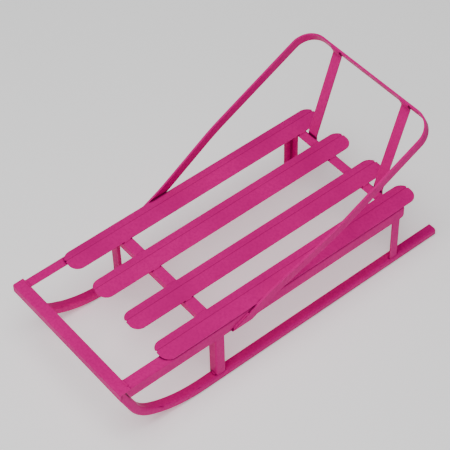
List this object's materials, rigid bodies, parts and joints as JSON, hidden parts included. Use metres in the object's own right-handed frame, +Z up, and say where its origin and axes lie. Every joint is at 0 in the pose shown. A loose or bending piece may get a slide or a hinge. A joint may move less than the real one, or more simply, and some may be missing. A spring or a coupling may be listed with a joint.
{
  "type": "steel sled with backrest hoop",
  "caption": "Child's painted steel snow sled: bent tube runners, angle posts and rails, creased sheet slats and a reclined flat-bar backrest hoop on two struts.",
  "frame": {"origin": "on the ground under the middle of the sled's bounding box", "axes": "+X to the sled's right seen from behind it, +Y towards the rear along the runners, +Z up"},
  "size_m": [0.35, 0.77, 0.3551],
  "materials": {
    "magenta_paint": "gloss"
  },
  "bodies": {
    "root": {"left_runner": "magenta_paint", "right_runner": "magenta_paint", "left_rail": "magenta_paint", "right_rail": "magenta_paint", "front_left_post": "magenta_paint", "front_right_post": "magenta_paint", "rear_left_post": "magenta_paint", "rear_right_post": "magenta_paint", "front_crossbar": "magenta_paint", "front_crosspiece": "magenta_paint", "rear_crosspiece": "magenta_paint", "slat_1": "magenta_paint", "slat_2": "magenta_paint", "slat_3": "magenta_paint", "slat_4": "magenta_paint", "backrest_hoop": "magenta_paint", "left_strut": "magenta_paint", "right_strut": "magenta_paint", "crossbar_welds": "magenta_paint", "crosspiece_welds": "magenta_paint", "post_head_welds": "magenta_paint", "post_foot_welds": "magenta_paint", "slat_welds": "magenta_paint", "hoop_welds": "magenta_paint", "strut_welds": "magenta_paint"}
  },
  "joints": []
}
